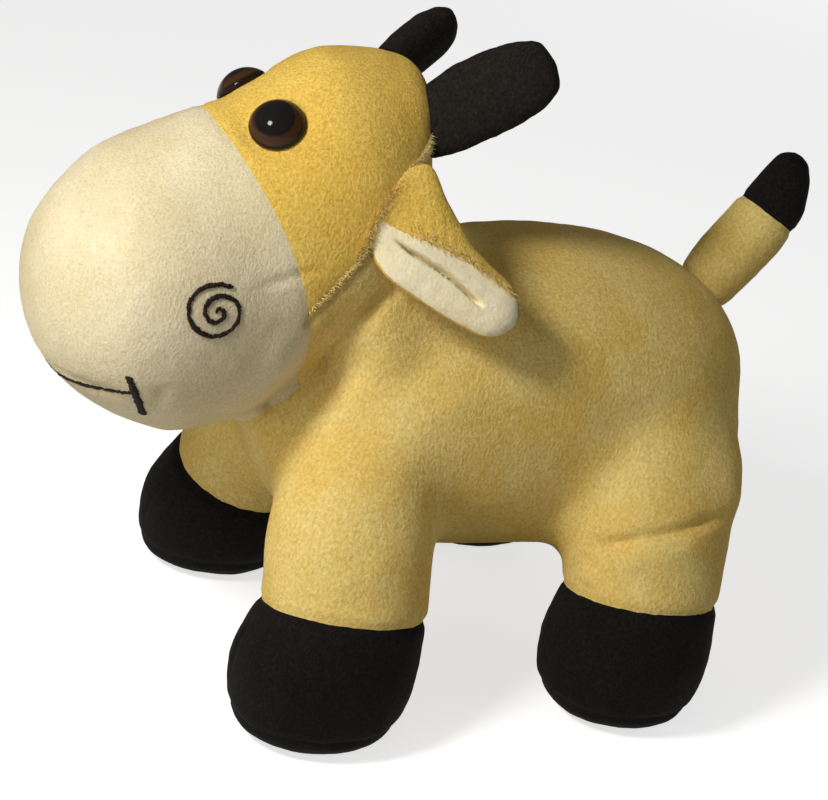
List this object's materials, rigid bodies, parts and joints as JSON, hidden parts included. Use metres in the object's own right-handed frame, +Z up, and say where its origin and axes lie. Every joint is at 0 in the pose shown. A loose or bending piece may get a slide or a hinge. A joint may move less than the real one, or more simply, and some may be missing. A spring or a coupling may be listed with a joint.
{
  "type": "plush cow",
  "caption": "Standing stuffed velour cow with a large muzzle, padded hooves, soft horns, folded ears and a raised tail; head, ears and tail bend at their seams.",
  "frame": {"origin": "on the floor under the middle of the whole toy, horns and tail included", "axes": "+Z up, -Y the way the cow faces, +X its own left side"},
  "size_m": [0.1216, 0.1922, 0.1591],
  "materials": {
    "yellow_velour": "short brushed pile, soft and matt",
    "cream_velour": "short brushed pile, soft and matt",
    "black_velour": "short brushed pile, soft and matt",
    "embroidery_thread": "satin twisted thread",
    "fibre_fill": "loose polyester fibre",
    "eye_amber": "clear polished amber",
    "eye_black": "polished black",
    "lock_washer": "moulded natural plastic"
  },
  "bodies": {
    "body": {"body_cover": "yellow_velour", "body_fill": "fibre_fill", "leg_fill_front_left": "fibre_fill", "leg_fill_front_right": "fibre_fill", "leg_fill_hind_left": "fibre_fill", "leg_fill_hind_right": "fibre_fill", "hoof_cover_front_left": "black_velour", "hoof_cover_front_right": "black_velour", "hoof_cover_hind_left": "black_velour", "hoof_cover_hind_right": "black_velour", "sole_front_left": "black_velour", "sole_front_right": "black_velour", "sole_hind_left": "black_velour", "sole_hind_right": "black_velour"},
    "head": {"face_cover": "yellow_velour", "nape_cover": "yellow_velour", "muzzle_cover": "cream_velour", "head_fill": "fibre_fill", "horn_cover_left": "black_velour", "horn_cover_right": "black_velour", "horn_fill_left": "fibre_fill", "horn_fill_right": "fibre_fill", "eye_lens_left": "eye_amber", "eye_lens_right": "eye_amber", "eye_stem_left": "eye_black", "eye_stem_right": "eye_black", "eye_washer_left": "lock_washer", "eye_washer_right": "lock_washer", "nostril_stitching_left": "embroidery_thread", "nostril_stitching_right": "embroidery_thread", "mouth_stitching": "embroidery_thread"},
    "ear_left": {"ear_outer_left": "yellow_velour", "ear_inner_left": "cream_velour"},
    "ear_right": {"ear_outer_right": "yellow_velour", "ear_inner_right": "cream_velour"},
    "tail": {"tail_cover": "yellow_velour", "tail_tip_cover": "black_velour", "tail_fill": "fibre_fill"}
  },
  "joints": [
    {"name": "head_turn", "type": "hinge", "parent": "body", "child": "head", "pos_m": [0, -0.01652, 0.09551], "axis": [0, -0.8, 0.6], "range_deg": [-15, 15], "stiffness_Nm_per_rad": 0.05},
    {"name": "ear_left_flap", "type": "hinge", "parent": "head", "child": "ear_left", "pos_m": [0.02225, -0.02228, 0.12375], "axis": [0.3081, -0.5134, -0.8009], "range_deg": [-5, 30], "stiffness_Nm_per_rad": 0.01},
    {"name": "ear_right_flap", "type": "hinge", "parent": "head", "child": "ear_right", "pos_m": [-0.02225, -0.02228, 0.12375], "axis": [0.3081, 0.5134, 0.8009], "range_deg": [-5, 30], "stiffness_Nm_per_rad": 0.01},
    {"name": "tail_swing", "type": "hinge", "parent": "body", "child": "tail", "pos_m": [0, 0.07147, 0.092], "axis": [1, 0, 0], "range_deg": [-15, 15], "stiffness_Nm_per_rad": 0.03}
  ]
}
